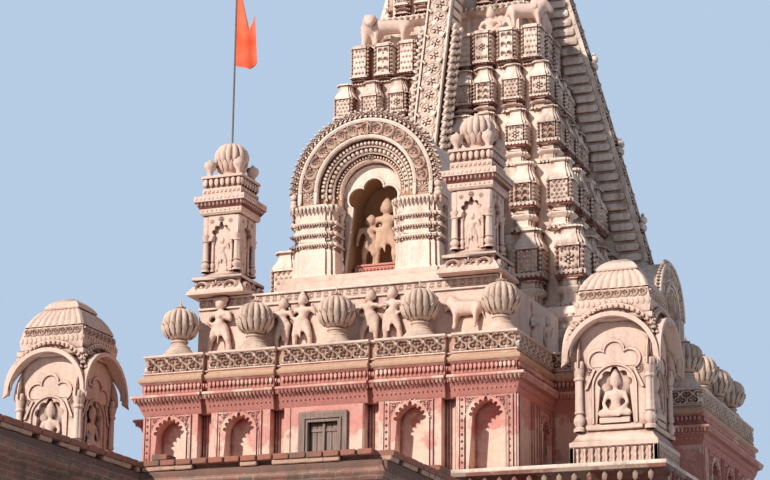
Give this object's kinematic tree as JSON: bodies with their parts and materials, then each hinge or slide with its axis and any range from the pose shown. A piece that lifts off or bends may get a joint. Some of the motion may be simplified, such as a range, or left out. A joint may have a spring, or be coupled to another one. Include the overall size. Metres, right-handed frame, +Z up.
{
  "type": "hindu temple",
  "caption": "Carved stone and plaster temple: walled hall with a porch, two-storey sanctum with niches, domed pavilions and pots, and a tall spined tower of miniature turrets.",
  "frame": {"origin": "on the ground under the middle of the tower, on the underside of the foundation", "axes": "+Z up, the front with the porch steps faces -Y, +X to the right of someone facing the front"},
  "size_m": [14.48, 36.05, 27.5006],
  "materials": {
    "plaster": "painted lime plaster, weathered",
    "pink_plaster": "pink painted lime plaster",
    "red_plaster": "dark red painted plaster",
    "shaded_plaster": "weathered carved plaster",
    "dark_stone": "dressed dark stone",
    "brick": "brown brick with stone eave",
    "grey_wood": "bare weathered wood",
    "gilt": "gilt metal",
    "iron": "grey painted steel",
    "orange_cloth": "orange cloth"
  },
  "bodies": {
    "root": {"plinth": "dark_stone", "entrance_steps": "dark_stone", "hall_left_wall": "dark_stone", "hall_right_wall": "dark_stone", "entrance_lintel": "dark_stone", "hall_roof": "dark_stone", "hall_parapet": "brick", "sanctum_left_wall": "dark_stone", "sanctum_right_wall": "dark_stone", "sanctum_back_wall": "dark_stone", "sanctum_door_lintel": "dark_stone", "lower_cornice": "red_plaster", "storey_front_wall": "pink_plaster", "storey_mass": "pink_plaster", "window_frame": "grey_wood", "window_shutters": "grey_wood", "storey_cornice": "pink_plaster", "terrace_parapet": "plaster", "pots_front": "plaster", "pots_left": "shaded_plaster", "pots_right": "shaded_plaster", "pots_back": "shaded_plaster", "frieze_wall": "plaster", "arch_platform": "plaster", "arch_pier_left": "plaster", "arch_pier_right": "plaster", "arch_ring": "plaster", "niche_mass": "plaster", "niche_figures": "plaster", "corner_turret_left": "plaster", "corner_turret_right": "plaster", "flagpole": "iron", "flag": "orange_cloth", "pavilion_left": "plaster", "pavilion_right": "plaster", "tower_base": "shaded_plaster", "tower_course_1": "shaded_plaster", "tower_course_2": "shaded_plaster", "tower_course_3": "shaded_plaster", "tower_course_4": "shaded_plaster", "tower_course_5": "shaded_plaster", "tower_head": "shaded_plaster", "tower_spine_front": "plaster", "tower_spine_right": "shaded_plaster", "tower_spine_back": "shaded_plaster", "tower_spine_left": "shaded_plaster", "tower_crown": "shaded_plaster", "tower_finial": "gilt"}
  },
  "joints": []
}
